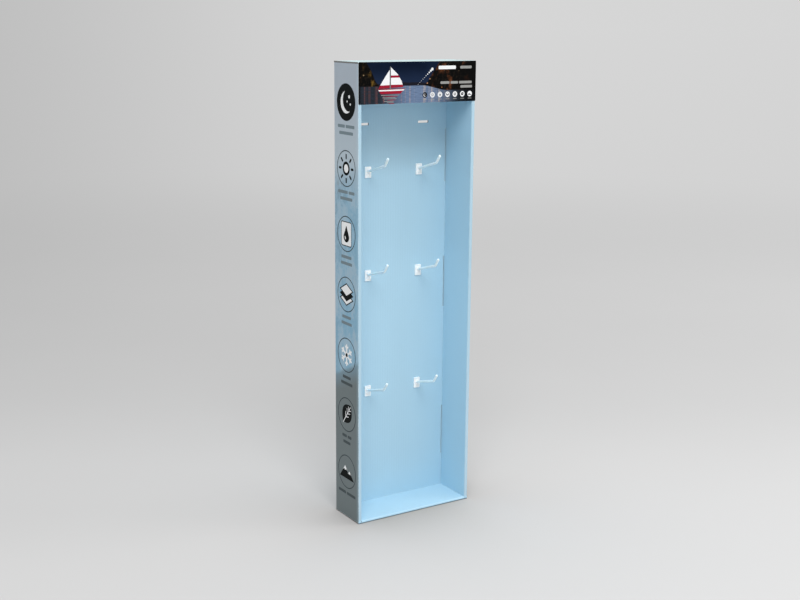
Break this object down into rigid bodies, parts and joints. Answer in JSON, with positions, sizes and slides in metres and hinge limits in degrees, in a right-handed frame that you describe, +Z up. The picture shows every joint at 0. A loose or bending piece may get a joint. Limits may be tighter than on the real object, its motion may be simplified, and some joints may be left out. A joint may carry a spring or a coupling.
{
  "type": "cardboard display stand",
  "caption": "Tall shallow open-fronted corrugated display tray with a header card and plastic hooks, standing on its base or hung by slots in its back.",
  "frame": {"origin": "bottom centre of the whole stand", "axes": "+X to the stand's right seen from its front, -Y to its open front, +Z up"},
  "size_m": [0.356, 0.1264, 1.219],
  "materials": {
    "corrugated_sheet": "matt print",
    "header_print": "satin print",
    "hook_plastic": "moulded"
  },
  "bodies": {
    "root": {"tray": "corrugated_sheet", "header_card": "header_print", "hook_1_left": "hook_plastic", "hook_1_right": "hook_plastic", "hook_2_left": "hook_plastic", "hook_2_right": "hook_plastic", "hook_3_left": "hook_plastic", "hook_3_right": "hook_plastic"}
  },
  "joints": []
}
